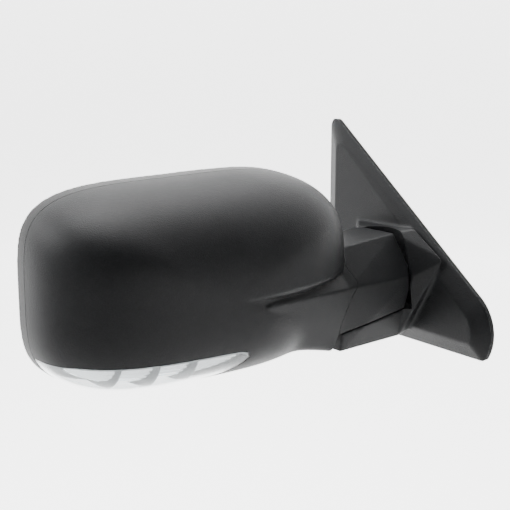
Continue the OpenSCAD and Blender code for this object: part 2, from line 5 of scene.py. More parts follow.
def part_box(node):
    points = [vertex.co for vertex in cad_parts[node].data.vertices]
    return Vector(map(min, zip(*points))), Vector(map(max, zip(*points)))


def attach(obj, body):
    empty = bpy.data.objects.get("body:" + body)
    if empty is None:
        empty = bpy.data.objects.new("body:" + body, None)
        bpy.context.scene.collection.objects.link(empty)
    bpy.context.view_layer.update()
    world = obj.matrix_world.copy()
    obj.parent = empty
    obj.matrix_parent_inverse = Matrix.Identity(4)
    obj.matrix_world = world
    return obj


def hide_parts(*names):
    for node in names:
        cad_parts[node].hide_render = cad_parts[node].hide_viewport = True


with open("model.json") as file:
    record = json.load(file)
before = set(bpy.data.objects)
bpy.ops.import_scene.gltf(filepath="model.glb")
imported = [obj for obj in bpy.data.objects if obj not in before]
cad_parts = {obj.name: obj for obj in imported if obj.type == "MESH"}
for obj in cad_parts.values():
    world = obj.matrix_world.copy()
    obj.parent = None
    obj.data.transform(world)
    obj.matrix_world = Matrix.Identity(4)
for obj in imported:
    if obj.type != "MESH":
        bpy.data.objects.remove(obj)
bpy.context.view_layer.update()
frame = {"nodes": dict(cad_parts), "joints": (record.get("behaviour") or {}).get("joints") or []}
nodes = frame["nodes"]
mm = 0.001
weld = 0.004 * mm  # points nearer than this are one point
looseShare = 0.02  # an island smaller than this share of the biggest is a sliver
print("frame loaded:", len(nodes), "nodes")

# small tools

def linearColour(hexCode):
    out = []
    for i in (0, 2, 4):
        c = int(hexCode[i:i + 2], 16) / 255
        out.append(c / 12.92 if c <= 0.04045 else ((c + 0.055) / 1.055) ** 2.4)
    return (*out, 1.0)


def addNode(tree, kind, settings=None, links=None, **values):
    # settings go to the node and values to its sockets; n0 is the first socket
    # links are (socket, from node, from socket)
    node = tree.nodes.new(kind)
    for name, value in (settings or {}).items():
        setattr(node, name, value)
    for name, value in values.items():
        key = name.replace("_", " ")
        byNumber = key[0] == "n" and key[1:].isdigit()
        node.inputs[int(key[1:]) if byNumber else key].default_value = value
    for socket, source, output in links or []:
        tree.links.new(source.outputs[output], node.inputs[socket])
    return node


def startMaterial(name):
    material = bpy.data.materials.new(name)
    material.use_nodes = True
    tree = material.node_tree
    tree.nodes.clear()
    out = addNode(tree, "ShaderNodeOutputMaterial")
    place = addNode(tree, "ShaderNodeTexCoord")
    return material, tree, out, place


def paintRamp(ramp, stops):
    # stops are (position, hex colour)
    elements = ramp.color_ramp.elements
    while len(elements) < len(stops):
        elements.new(0.5)
    for element, (position, code) in zip(elements, stops):
        element.position = position
        element.color = linearColour(code)


def makeObject(name, bm, material=None, sharp=35, smooth=True):
    # turns a finished bmesh into an object at the origin, with soft shading up to the sharp angle
    bmesh.ops.remove_doubles(bm, verts=bm.verts, dist=weld)
    bmesh.ops.dissolve_degenerate(bm, edges=bm.edges, dist=weld / 2)
    mesh = bpy.data.meshes.new(name)
    bm.to_mesh(mesh)
    bm.free()
    if smooth:
        mesh.shade_smooth()
        mesh.set_sharp_from_angle(angle=math.radians(sharp))
    piece = bpy.data.objects.new(name, mesh)
    bpy.context.scene.collection.objects.link(piece)
    if material:
        mesh.materials.append(material)
    return piece


def bakeModifiers(piece):
    # swaps the mesh for what the modifiers make of it
    done = bpy.data.meshes.new_from_object(piece.evaluated_get(bpy.context.evaluated_depsgraph_get()))
    old = piece.data
    piece.modifiers.clear()
    piece.data = done
    bpy.data.meshes.remove(old)
    return piece


def carve(piece, tool, how="DIFFERENCE"):
    step = piece.modifiers.new("carve", "BOOLEAN")
    step.operation = how
    step.solver = "EXACT"
    step.object = tool
    bpy.context.view_layer.update()
    return bakeModifiers(piece)


def melt(piece, voxel, passes, mask=None, more=0):
    # joins overlapping shells into one skin with softly rounded edges
    # a mask lets a place run together more
    step = piece.modifiers.new("join", "REMESH")
    step.mode = "VOXEL"
    step.voxel_size = voxel
    step.use_smooth_shade = True
    soft = piece.modifiers.new("soften", "SMOOTH")
    soft.factor = 0.5
    soft.iterations = passes
    bpy.context.view_layer.update()
    bakeModifiers(piece)
    if mask:
        group = piece.vertex_groups.new(name="runTogether")
        for v in piece.data.vertices:
            weight = mask(v.co)
            if weight > 0.01:
                group.add([v.index], weight, "REPLACE")
        blend = piece.modifiers.new("blend", "SMOOTH")
        blend.factor = 0.5
        blend.iterations = more
        blend.vertex_group = "runTogether"
        bpy.context.view_layer.update()
        bakeModifiers(piece)
        piece.vertex_groups.clear()
    return piece


def copyOf(piece, name):
    twin = bpy.data.objects.new(name, piece.data.copy())
    bpy.context.scene.collection.objects.link(twin)
    return twin


def discard(*pieces):
    for piece in pieces:
        bpy.data.objects.remove(piece)


def slim(piece, wall):
    # draws a closed skin in by a wall's thickness
    bm = bmesh.new()
    bm.from_mesh(piece.data)
    bm.normal_update()
    for v in bm.verts:
        v.co -= v.normal * wall
    bm.to_mesh(piece.data)
    bm.free()
    return piece


def settle(piece, material, sharp=35):
    # cleans a carved piece and sets its soft and sharp edges
    bm = bmesh.new()
    bm.from_mesh(piece.data)
    bmesh.ops.remove_doubles(bm, verts=bm.verts, dist=weld)
    bmesh.ops.dissolve_degenerate(bm, edges=bm.edges, dist=weld)
    # a sliver left loose by a cut is thrown away
    seen, islands = set(), []
    for face in bm.faces:
        if face in seen:
            continue
        island, todo = [], [face]
        seen.add(face)
        while todo:
            one = todo.pop()
            island.append(one)
            for edge in one.edges:
                for other in edge.link_faces:
                    if other not in seen:
                        seen.add(other)
                        todo.append(other)
        islands.append(island)
    biggest = max(len(i) for i in islands)
    loose = [f for i in islands if len(i) < biggest * looseShare for f in i]
    if loose:
        bmesh.ops.delete(bm, geom=loose, context="FACES")
    bm.to_mesh(piece.data)
    bm.free()
    piece.data.shade_smooth()
    piece.data.set_sharp_from_angle(angle=math.radians(sharp))
    piece.data.materials.clear()
    piece.data.materials.append(material)
    return piece


# places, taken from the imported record

foldJoint = next(j for j in frame["joints"] if j["name"] == "fold")
pivot = Vector(foldJoint["pos_m"])
foldAxis = -Vector(foldJoint["axis"])
foldPlace = Matrix.Translation(pivot) @ Matrix.Rotation(math.atan2(foldAxis.x, foldAxis.z), 4, "Y")
headPose = dict(middle=(-232, 46, 20), yaw=6, glassFace=12)  # mm, degrees; the glass face is before the rim
turn = Matrix.Rotation(math.radians(-headPose["yaw"]), 4, "Z")
headPlace = Matrix.Translation(Vector(headPose["middle"]) * mm) @ turn


def rounded(v, p):
    return math.copysign(abs(v) ** p, v)


headShape = dict(
    out=151, inside=148, up=95, down=85, depth=104,        # from the head's middle, mm
    corners=(3.6, 4.7, 3.5, 3.6),                          # squareness, from the top inboard corner round
    noseSpread=8, topSpread=22, taper=0.02,                # the inboard side swells towards the nose
    full=dict(inside=1.8, insideTop=0.8, up=2.1, out=2.9, down=3.0))  # how full each side's curve is


def cornerPower(a):
    return headShape["corners"][min(int(a // 90), 3)]


def rimReach(c, s):
    # half height of the rim, which tapers a little outwards
    half, lean = (headShape["up"], 1) if s > 0 else (headShape["down"], -1)
    return half * (1 + headShape["taper"] * c * lean)


def skinPoint(angle, tilt, inset):
    # where the head's skin is, for a direction round the rim and a tilt towards the nose, in mm
    a = angle % 360
    c, s = math.cos(math.radians(a)), math.sin(math.radians(a))
    n = 2 / cornerPower(a)
    above = min(max(1 + 4 * rounded(s, n), 0), 1)
    side = headShape["full"]
    full = ((side["inside"] + side["insideTop"] * above) * max(c, 0) ** 2 + side["up"] * max(s, 0) ** 2
            + side["out"] * max(-c, 0) ** 2 + side["down"] * max(-s, 0) ** 2)
    share = max(math.sin(tilt), 0) ** (2 / full)
    size = max(math.cos(tilt), 0) ** (2 / full)
    spread = (headShape["noseSpread"] + headShape["topSpread"] * above) * share
    reachX = headShape["inside"] + spread - inset if c > 0 else headShape["out"] - inset
    reachZ = rimReach(c, s) - inset
    return Vector((reachX * rounded(c, n) * size, -(headShape["depth"] - inset) * share,
                   reachZ * rounded(s, n) * size)) * mm


def headSkin(bm, inset, around=192, along=120):
    # a ball whose poles lie along Y, cut at its middle and pushed out to the head's shape
    made = bmesh.ops.create_uvsphere(bm, u_segments=around, v_segments=along, radius=1)["verts"]
    bmesh.ops.rotate(bm, verts=made, cent=(0, 0, 0), matrix=Matrix.Rotation(math.radians(90), 3, "X"))
    half = bmesh.ops.bisect_plane(bm, geom=bm.verts[:] + bm.edges[:] + bm.faces[:], plane_co=(0, 0, 0),
                                  plane_no=(0, 1, 0), clear_outer=True, dist=0.0001)
    rim = [e for e in half["geom_cut"] if isinstance(e, bmesh.types.BMEdge)]
    bmesh.ops.holes_fill(bm, edges=rim)
    for v in bm.verts:
        v.co = skinPoint(math.degrees(math.atan2(v.co.z, v.co.x)), math.asin(min(max(-v.co.y, 0), 1)), inset)
    bmesh.ops.recalc_face_normals(bm, faces=bm.faces)
    bmesh.ops.transform(bm, matrix=headPlace, verts=bm.verts)


def rimLine(bm, inset, insetIn, y, height, points=144):
    # a prism with the rim's outline drawn in, from depth y (mm, forward is minus) over a height
    made = bmesh.ops.create_circle(bm, cap_ends=True, segments=points, radius=1)["verts"]
    for v in made:
        a = math.degrees(math.atan2(v.co.y, v.co.x)) % 360
        c, s = math.cos(math.radians(a)), math.sin(math.radians(a))
        n = 2 / cornerPower(a)
        reachX = headShape["inside"] - insetIn if c > 0 else headShape["out"] - inset
        v.co = Vector((reachX * rounded(c, n), y, (rimReach(c, s) - inset) * rounded(s, n))) * mm
    grown = bmesh.ops.extrude_face_region(bm, geom=[f for f in bm.faces if all(v in made for v in f.verts)])
    far = [g for g in grown["geom"] if isinstance(g, bmesh.types.BMVert)]
    bmesh.ops.translate(bm, verts=far, vec=(0, height * mm, 0))
    return made + far


def prism(bm, outline, low, high, axis):
    # a closed block drawn as points in a plane across the axis, mm
    spots = {"X": lambda u, w, d: (d, u, w), "Y": lambda u, w, d: (u, d, w),
             "Z": lambda u, w, d: (u, w, d)}[axis]
    verts = [bm.verts.new(Vector(spots(u, w, low)) * mm) for u, w in outline]
    base = bm.faces.new(verts)
    grown = bmesh.ops.extrude_face_region(bm, geom=[base])
    far = [g for g in grown["geom"] if isinstance(g, bmesh.types.BMVert)]
    bmesh.ops.translate(bm, verts=far, vec=Vector(spots(0, 0, high - low)) * mm)
    return verts + far


def hullOf(bm, sections, round=0, steps=3):
    # a convex body through flat sections (x, points in Y and Z), mm, with its long edges rounded
    verts = [bm.verts.new(Vector((x, y, z)) * mm) for x, points in sections for y, z in points]
    bmesh.ops.convex_hull(bm, input=verts)
    bmesh.ops.dissolve_limit(bm, angle_limit=0.01, verts=verts, edges=bm.edges)
    if round:
        edges = [e for e in bm.edges if e.is_manifold and e.calc_face_angle(0) > 0.15]
        bmesh.ops.bevel(bm, geom=edges, offset=round * mm, segments=steps, profile=0.5,
                        affect="EDGES", material=-1)
    bmesh.ops.recalc_face_normals(bm, faces=bm.faces)


def tool(name, build, place=Matrix.Identity(4)):
    # a cutting shape, thrown away after use
    bm = bmesh.new()
    build(bm)
    bmesh.ops.recalc_face_normals(bm, faces=bm.faces)
    bmesh.ops.transform(bm, matrix=place, verts=bm.verts)
    return makeObject(name, bm, smooth=False)


def drum(radius, low, high, sides=128, top=None):
    # a round bar or cone along Z, mm
    def build(bm):
        upper = top if top is not None else radius
        made = bmesh.ops.create_cone(bm, cap_ends=True, segments=sides, radius1=radius * mm,
                                     radius2=upper * mm, depth=(high - low) * mm)["verts"]
        bmesh.ops.translate(bm, verts=made, vec=(0, 0, (low + high) / 2 * mm))
    return build


def brick(low, high):
    def build(bm):
        made = bmesh.ops.create_cube(bm, size=1)["verts"]
        size = (Vector(high) - Vector(low)) * mm
        bmesh.ops.scale(bm, verts=made, vec=size)
        bmesh.ops.translate(bm, verts=made, vec=(Vector(low) + Vector(high)) / 2 * mm)
    return build


# materials

# Moulded ABS with a fine spark-eroded grain: near black, broad soft gloss, tiny pits that break the light up,
# and painted shade in the pits
def mouldedAbs(name, dark, light, rough, grain, depth):
    material, tree, out, place = startMaterial(name)
    # the real grain is about 0.35 mm; it is drawn at 0.8 mm so that it shows
    pits = addNode(tree, "ShaderNodeTexNoise", links=[("Vector", place, "Object")],
                   Scale=grain, Detail=3.0, Roughness=0.6)
    cells = addNode(tree, "ShaderNodeTexVoronoi", {"feature": "SMOOTH_F1"}, [("Vector", place, "Object")],
                    Scale=grain * 0.9, Smoothness=0.6)
    both = addNode(tree, "ShaderNodeMath", {"operation": "MULTIPLY_ADD"},
                   [(0, pits, "Fac"), (2, cells, "Distance")], n1=0.7)
    # slow changes of tone, as flow in the mould leaves
    clouds = addNode(tree, "ShaderNodeTexNoise", links=[("Vector", place, "Object")],
                     Scale=14.0, Detail=4.0, Roughness=0.55)
    tone = addNode(tree, "ShaderNodeValToRGB", links=[("Fac", clouds, "Fac")])
    paintRamp(tone, [(0.3, dark), (0.75, light)])
    # the pits, the low places of the bump, are painted darker: painted shade in the grain's hollows
    pitShade = addNode(tree, "ShaderNodeValToRGB", links=[("Fac", pits, "Fac")])
    paintRamp(pitShade, [(0.35, "B8B8B8"), (0.7, "FFFFFF")])
    mix = addNode(tree, "ShaderNodeMix", {"data_type": "RGBA", "blend_type": "MULTIPLY"},
                  [(6, tone, "Color"), (7, pitShade, "Color")], n0=1.0)
    gloss = addNode(tree, "ShaderNodeMapRange", links=[("Value", clouds, "Fac")], From_Min=0.3, From_Max=0.7,
                    To_Min=rough - 0.04, To_Max=rough + 0.05)
    bump = addNode(tree, "ShaderNodeBump", links=[("Height", both, "Value")],
                   Strength=depth, Distance=0.25 * mm)
    # the base colour carries the painted shade of the pits, and the specular level is kept low
    skin = addNode(tree, "ShaderNodeBsdfPrincipled", links=[("Base Color", mix, 2),
                   ("Normal", bump, "Normal"), ("Roughness", gloss, "Result")],
                   IOR=1.53, Specular_IOR_Level=0.2)
    tree.links.new(skin.outputs["BSDF"], out.inputs["Surface"])
    return material


# Metals share one recipe: a tone that wanders a little, and a grain in the roughness and in the relief
def metalFinish(name, dark, light, rough, spread, grain, depth, stretch=(1, 1, 1)):
    material, tree, out, place = startMaterial(name)
    laid = addNode(tree, "ShaderNodeMapping", links=[("Vector", place, "Object")], Scale=stretch)
    noise = addNode(tree, "ShaderNodeTexNoise", links=[("Vector", laid, "Vector")],
                    Scale=grain, Detail=5.0, Roughness=0.6)
    tone = addNode(tree, "ShaderNodeValToRGB", links=[("Fac", noise, "Fac")])
    paintRamp(tone, [(0.3, dark), (0.7, light)])
    gloss = addNode(tree, "ShaderNodeMapRange", links=[("Value", noise, "Fac")], From_Min=0.3, From_Max=0.7,
                    To_Min=rough - spread, To_Max=rough + spread)
    bump = addNode(tree, "ShaderNodeBump", links=[("Height", noise, "Fac")],
                   Strength=depth, Distance=0.2 * mm)
    skin = addNode(tree, "ShaderNodeBsdfPrincipled", links=[("Base Color", tone, "Color"),
                   ("Roughness", gloss, "Result"), ("Normal", bump, "Normal")], Metallic=1.0)
    tree.links.new(skin.outputs["BSDF"], out.inputs["Surface"])
    return material


# Plain moulded plastics and rubber: a little tone, a little relief
def plasticFinish(name, dark, light, rough, grain, depth, ior=1.5, through=0.0):
    material, tree, out, place = startMaterial(name)
    noise = addNode(tree, "ShaderNodeTexNoise", links=[("Vector", place, "Object")],
                    Scale=grain, Detail=4.0, Roughness=0.55)
    tone = addNode(tree, "ShaderNodeValToRGB", links=[("Fac", noise, "Fac")])
    paintRamp(tone, [(0.3, dark), (0.7, light)])
    gloss = addNode(tree, "ShaderNodeMapRange", links=[("Value", noise, "Fac")], From_Min=0.3, From_Max=0.7,
                    To_Min=rough - 0.05, To_Max=rough + 0.05)
    bump = addNode(tree, "ShaderNodeBump", links=[("Height", noise, "Fac")],
                   Strength=depth, Distance=0.2 * mm)
    skin = addNode(tree, "ShaderNodeBsdfPrincipled", links=[("Base Color", tone, "Color"),
                   ("Roughness", gloss, "Result"), ("Normal", bump, "Normal")],
                   IOR=ior, Subsurface_Weight=through, Subsurface_Scale=1 * mm)
    tree.links.new(skin.outputs["BSDF"], out.inputs["Surface"])
    return material


# Injection-moulded polycarbonate: clear, hard gloss, a faint waviness from the mould
def clearPolycarbonate(name, tint, rough, pattern):
    material, tree, out, place = startMaterial(name)
    wave = addNode(tree, "ShaderNodeTexNoise", links=[("Vector", place, "Object")], Scale=pattern, Detail=1.0)
    bump = addNode(tree, "ShaderNodeBump", links=[("Height", wave, "Fac")], Strength=0.02, Distance=0.2 * mm)
    gloss = addNode(tree, "ShaderNodeMapRange", links=[("Value", wave, "Fac")],
                    To_Min=rough, To_Max=rough + 0.03)
    skin = addNode(tree, "ShaderNodeBsdfPrincipled",
                   links=[("Normal", bump, "Normal"), ("Roughness", gloss, "Result")],
                   Base_Color=linearColour(tint), IOR=1.585, Transmission_Weight=1.0)
    tree.links.new(skin.outputs["BSDF"], out.inputs["Surface"])
    return material


# Vacuum-metallised ABS: bright aluminium, frosted along the lowest band
def metallisedReflector():
    material, tree, out, place = startMaterial("metallisedReflector")
    height = addNode(tree, "ShaderNodeSeparateXYZ", links=[("Vector", place, "Object")])
    band = addNode(tree, "ShaderNodeMapRange", links=[("Value", height, "Z")],
                   From_Min=-55.5 * mm, From_Max=-51.5 * mm, To_Min=0.42, To_Max=0.12)
    haze = addNode(tree, "ShaderNodeTexNoise", links=[("Vector", place, "Object")], Scale=900.0, Detail=2.0)
    tone = addNode(tree, "ShaderNodeValToRGB", links=[("Fac", haze, "Fac")])
    paintRamp(tone, [(0.3, "E2E4E6"), (0.7, "EDEFF0")])
    bump = addNode(tree, "ShaderNodeBump", links=[("Height", haze, "Fac")], Strength=0.03, Distance=0.1 * mm)
    skin = addNode(tree, "ShaderNodeBsdfPrincipled", links=[("Base Color", tone, "Color"),
                   ("Roughness", band, "Result"), ("Normal", bump, "Normal")], Metallic=1.0)
    tree.links.new(skin.outputs["BSDF"], out.inputs["Surface"])
    return material


# Float glass silvered on its back: a clean reflection, with a trace of a blue-grey tint
def silveredGlass():
    material, tree, out, place = startMaterial("silveredGlass")
    film = addNode(tree, "ShaderNodeTexNoise", links=[("Vector", place, "Object")], Scale=9.0, Detail=2.0)
    tone = addNode(tree, "ShaderNodeValToRGB", links=[("Fac", film, "Fac")])
    paintRamp(tone, [(0.3, "C9D3D9"), (0.7, "D3DCE1")])
    gloss = addNode(tree, "ShaderNodeMapRange", links=[("Value", film, "Fac")], To_Min=0.012, To_Max=0.03)
    skin = addNode(tree, "ShaderNodeBsdfPrincipled",
                   links=[("Base Color", tone, "Color"), ("Roughness", gloss, "Result")],
                   Metallic=1.0, Coat_Weight=0.5, Coat_Roughness=0.01)
    tree.links.new(skin.outputs["BSDF"], out.inputs["Surface"])
    return material


coverGrain = dict(dark="17181A", light="1F2022", rough=0.46, grain=1250.0, depth=0.75)
coverAbs = mouldedAbs("grainedBlackAbs", coverGrain["dark"], coverGrain["light"], coverGrain["rough"],
                      coverGrain["grain"], coverGrain["depth"])
neckAbs = mouldedAbs("grainedBlackAbsNeck", "17181A", "1E1F21", 0.48, 1250.0, 0.75)
rearAbs = mouldedAbs("satinBlackAbs", "161718", "1D1E20", 0.42, 1400.0, 0.4)
# moulded, a dull fibrous black
glassNylon = plasticFinish("glassFilledNylon", "1D1E20", "2B2C2E", 0.58, 900.0, 0.5)
# moulded, waxy off-white
acetal = plasticFinish("mouldedAcetal", "D8D5CB", "E6E3DA", 0.36, 300.0, 0.1, 1.48, 0.15)
# pressed, dead matt black
epdm = plasticFinish("mouldedEpdmRubber", "151516", "202021", 0.78, 700.0, 0.6)
# laminated and lacquered, woven green
boardGreen = plasticFinish("glassEpoxyBoard", "1E4A2C", "2A5F39", 0.4, 1100.0, 0.3, 1.55)
# printed film, coppery brown
heaterFoil = plasticFinish("polyesterHeaterFilm", "7A4A22", "93602F", 0.35, 500.0, 0.2)
# dosed silicone, amber yellow
ledChip = plasticFinish("siliconeLedChip", "D9B23A", "EFD36A", 0.3, 900.0, 0.1, 1.42, 0.2)
# blown and frosted, milky
bulbGlass = plasticFinish("frostedBulbGlass", "E4E0D0", "F3F0E4", 0.25, 200.0, 0.05, 1.5, 0.3)
# cast, grey with a fine frosty skin
dieCastZinc = metalFinish("dieCastZinc", "8C8F92", "A9ACAF", 0.46, 0.08, 420.0, 0.35)
# plated, bright with a faint cloud
zincSteel = metalFinish("zincPlatedSteel", "A5A8AA", "C4C6C6", 0.3, 0.06, 260.0, 0.12)
# drawn, dark and oily
springSteel = metalFinish("drawnSpringSteel", "6C6E72", "8D9094", 0.28, 0.05, 600.0, 0.15, (1, 1, 0.3))
# turned, warm yellow
wormBrass = metalFinish("turnedBrass", "A88440", "C7A55C", 0.26, 0.05, 700.0, 0.15)
# moulded, the lamp's inner walls and dividers; their grey is a painted shade for the dark lines that fall at
# the dividers
dividerShadeGrey = plasticFinish("greyAbsPaintedShade", "A6AAAD", "B4B8BB", 0.38, 700.0, 0.15)
# moulded clear, and with a frosty ribbed back for the puddle lamp
lensClear = clearPolycarbonate("clearPolycarbonate", "F7FAFB", 0.02, 60.0)
puddleClear = clearPolycarbonate("ribbedPolycarbonate", "EFF3F5", 0.12, 400.0)
reflectorSkin = metallisedReflector()
mirrorSkin = silveredGlass()

finishes = {
    dieCastZinc: ["base_bracket", "head_bracket", "fold_gear"],
    epdm: ["base_gasket", "harness_grommet"],
    zincSteel: ["door_studs", "sail_screws", "bracket_screws", "housing_screws", "actuator_screws",
                "spindle", "clutch_washer", "spring_retainer", "fold_motor", "pan_motor", "tilt_motor",
                "fold_worm_shaft"],
    springSteel: ["fold_spring"],
    wormBrass: ["fold_rotor"],
    acetal: ["pan_rotor", "tilt_rotor", "pan_nut_wheel", "tilt_nut_wheel", "pan_jackscrew",
             "tilt_jackscrew", "gimbal_ring"],
    glassNylon: ["shelf_plug", "head_frame", "fold_gearcase", "fold_gearcase_lid", "actuator_base",
                 "actuator_lid", "backing_plate", "puddle_housing"],
    boardGreen: ["signal_board"],
    ledChip: ["signal_leds"],
    bulbGlass: ["puddle_bulb"],
    heaterFoil: ["heater_pad"],
    puddleClear: ["puddle_lens"],
    mirrorSkin: ["mirror_glass"],
}
for material, names in finishes.items():
    for name in names:
        nodes[name].data.materials.clear()
        nodes[name].data.materials.append(material)
print("materials made")

# the arm and the head as one skin

armSections = dict(
    root=[[-85, 24], [-48, 48], [30, 44], [36, 0], [28, -50], [-44, -53]],
    seat=[[-59, 6], [-33, 43], [16, 42], [24, 0], [14, -58], [-42, -58]],
    neck=[[-54, 6], [-24, 36], [14, 36], [24, 0], [14, -58], [-42, -58]],
    band=[[-60, 9], [-20, 11], [0, 0], [0, -30], [-20, -38], [-34, -38]],
    rootX=-13, seatX=-27, neckX=-105, bandX=-208, knuckle=52, gap=1.2, wall=2.5, voxel=1.15, soften=5,
    coreVoxel=3.2, headTurn=-54)
arm = armSections
bezel = dict(edge=12, inner=34, depth=32, gap=4, wall=2.5, clear=0.6)


def buildHead(bm):
    headSkin(bm, 0)


def buildBand(bm):
    hullOf(bm, [(arm["neckX"], arm["neck"]), (arm["bandX"], arm["band"])])


def buildNeck(bm):
    hullOf(bm, [(arm["seatX"], arm["seat"]), (arm["neckX"], arm["neck"])])


knuckle = tool("knuckle", buildNeck)
barrel = tool("barrel", drum(arm["knuckle"], -60, 120), foldPlace)
carve(knuckle, barrel, "INTERSECT")
stub = tool("stub", buildNeck)
side = tool("side", brick((-300, -150, -150), (pivot.x / mm, 150, 150)))
carve(stub, side, "INTERSECT")
headBody = tool("headBody", buildHead)


def bezelBlock(name, inward, y, height):
    # a block as wide as the bezel's opening, moved inwards by some mm, from depth y over a height
    return tool(name, lambda bm: rimLine(bm, bezel["edge"] + inward, bezel["inner"] + inward, y, height),
                headPlace)


opening = bezelBlock("opening", 0, 4, -4 - bezel["depth"])
carve(headBody, opening)


def joinShells(target, *others):
    bm = bmesh.new()
    for piece in (target, *others):
        bm.from_mesh(piece.data)
    bm.to_mesh(target.data)
    bm.free()
    discard(*others)
    return target


closedHead = tool("closedHead", buildHead)
closedHead = joinShells(closedHead, copyOf(knuckle, "a"), copyOf(stub, "b"), tool("bandA", buildBand))
headBody = joinShells(headBody, knuckle, stub, tool("bandB", buildBand))
discard(barrel, side, opening)

# under the ledge the head's lower face runs smoothly into the neck's
blendZone = dict(middle=(-160, -40, -34), reach=(62, 60, 40), ledgeAt=-105, ledgeHigh=4, ledgeRise=-0.035,
                 ledgeKeep=5, fade=10, lampEnd=-216, lampFade=14, steep=2.5, passes=260)


def underLedge(co):
    x, y, z = co / mm
    cx, cy, cz = blendZone["middle"]
    rx, ry, rz = blendZone["reach"]
    near = 1 - math.sqrt(((x - cx) / rx) ** 2 + ((y - cy) / ry) ** 2 + ((z - cz) / rz) ** 2)
    ledge = blendZone["ledgeHigh"] + blendZone["ledgeRise"] * (x - blendZone["ledgeAt"])
    below = (ledge - blendZone["ledgeKeep"] - z) / blendZone["fade"]
    lampSide = (x - blendZone["lampEnd"]) / blendZone["lampFade"]  # the lamp's end keeps the head's shape
    return max(0, min(1, near * blendZone["steep"], below, lampSide))


melt(headBody, arm["voxel"] * mm, arm["soften"], underLedge, blendZone["passes"])
melt(closedHead, arm["coreVoxel"] * mm, 2)
headCore = slim(closedHead, arm["wall"] * mm)
print("head skin:", len(headBody.data.polygons), "faces")


# the shelf under the fold plane: a drum and a skirt round the pivot, and what fills up to the head
shelf = dict(drum=49, skirt=54.5, slope=0.3, skirtDeep=40, reach=100)


def skirtCone(grow, edge):
    # the half of the skirt that lies behind a plane through the pivot
    def build(bm):
        foot = shelf["skirt"] + shelf["skirtDeep"] * shelf["slope"] + grow
        drum(foot, grow - shelf["skirtDeep"], grow, 128, shelf["skirt"] + grow)(bm)
        cut = bmesh.ops.bisect_plane(bm, geom=bm.verts[:] + bm.edges[:] + bm.faces[:], plane_co=(0, 0, 0),
                                     plane_no=edge, clear_outer=True, dist=0.000001)
        bmesh.ops.holes_fill(bm, edges=[e for e in cut["geom_cut"] if isinstance(e, bmesh.types.BMEdge)])
    return build


def roomTools(grow):
    # the room that the shelf needs in the head, with a gap
    low = grow - shelf["reach"]
    edge = Matrix.Rotation(math.radians(arm["headTurn"]), 3, "Z") @ Vector((0, 1, 0))
    return [tool("roomDrum", drum(shelf["drum"] + grow, -shelf["reach"], grow + 0.01), foldPlace),
            tool("roomCone", skirtCone(grow, edge), foldPlace),
            tool("roomBox", brick((-10 - grow, -150, low), (190, 150, grow - 0.01)), foldPlace)]


def carveAll(piece, tools, how="DIFFERENCE"):
    for one in tools:
        carve(piece, one, how)
    return piece


room = roomTools(arm["gap"])
carveAll(headBody, room)
coreRoom = roomTools(arm["gap"] + arm["wall"])
carveAll(headCore, coreRoom)
discard(*room, *coreRoom)
print("fold gap cut")

seams = dict(gap=0.6, split=15, lensBack=16, ahead=-220)  # mm behind or before the rim
neckSeam = [[-96, 56], [-96, 24], [-93, 10], [-100, -2], [-109, -30], [-114, -80], [40, -80], [40, 56]]
lensEdge = [[-170, -51], [-146, -48], [-130, -45], [-86, -46], [-32, -47], [12, -48.5],
            [19, -50.5], [22, -56], [14, -64], [0, -73], [-20, -82], [-40, -120], [-170, -120]]


def grownPrism(outline, grow, low, high):
    # a prism across Y whose outline is moved out by some mm
    def build(bm):
        verts = prism(bm, outline, low, high, "Y")
        if grow:
            bmesh.ops.recalc_face_normals(bm, faces=bm.faces)
            ends = [f for f in bm.faces if abs(f.normal.y) > 0.9]
            for v in verts:
                sides = [f for f in v.link_faces if f not in ends]
                a, b = sides[0].normal, sides[1].normal
                push = (a + b) / max(1 + a.dot(b), 0.2)
                v.co += push * grow * mm
    return build


def headTool(name, inset):
    return tool(name, lambda bm: headSkin(bm, inset, 128, 72))


capSlab = tool("capSlab", brick((-300, -160, -200), (330, -seams["split"], 200)), headPlace)
rearSlab = tool("rearSlab", brick((-300, -seams["split"] + seams["gap"], -200), (330, 12, 200)), headPlace)


def lensBlock(name, grow):
    # the lamp's outline as a block through the head's nose, grown or shrunk all round
    return tool(name, grownPrism(lensEdge, grow, seams["ahead"], -seams["lensBack"] + grow), headPlace)


lensCut, lensFit = lensBlock("lensCut", seams["gap"]), lensBlock("lensFit", 0)
neckCut = tool("neckCut", grownPrism(neckSeam, seams["gap"], -160, 160))
neckFit = tool("neckFit", grownPrism(neckSeam, 0, -160, 160))
headTight, headLoose = headTool("headTight", 0.3), headTool("headLoose", -0.6)
carve(neckCut, headTight)
carve(neckFit, headLoose)
puddleLow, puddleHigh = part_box("puddle_lens")
puddleMid = (Vector(puddleLow) + Vector(puddleHigh)) / 2
puddle = dict(radius=13.6, reach=30)
puddleHole = tool("puddleHole", drum(puddle["radius"], -puddle["reach"], puddle["reach"], 64),
                  Matrix.Translation(puddleMid))
frontCap = copyOf(headBody, "frontCap")
carve(frontCap, capSlab, "INTERSECT")
carveAll(frontCap, [neckCut, lensCut, headCore, puddleHole])
settle(frontCap, coverAbs)
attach(frontCap, "head")
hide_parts("front_cap")
print("front cap:", len(frontCap.data.polygons), "faces")

neckCover = copyOf(headBody, "neckCover")
carve(neckCover, neckFit, "INTERSECT")
hub = dict(headHole=13.8, shelfHole=15, plug=13)
hubHole = tool("hubHole", drum(hub["headHole"], 0, 6), foldPlace)
carveAll(neckCover, [headCore, hubHole])
settle(neckCover, neckAbs)
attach(neckCover, "head")
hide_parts("neck_cover")
print("neck cover:", len(neckCover.data.polygons), "faces")

rearHousing = copyOf(headBody, "rearHousing")
carve(rearHousing, rearSlab, "INTERSECT")
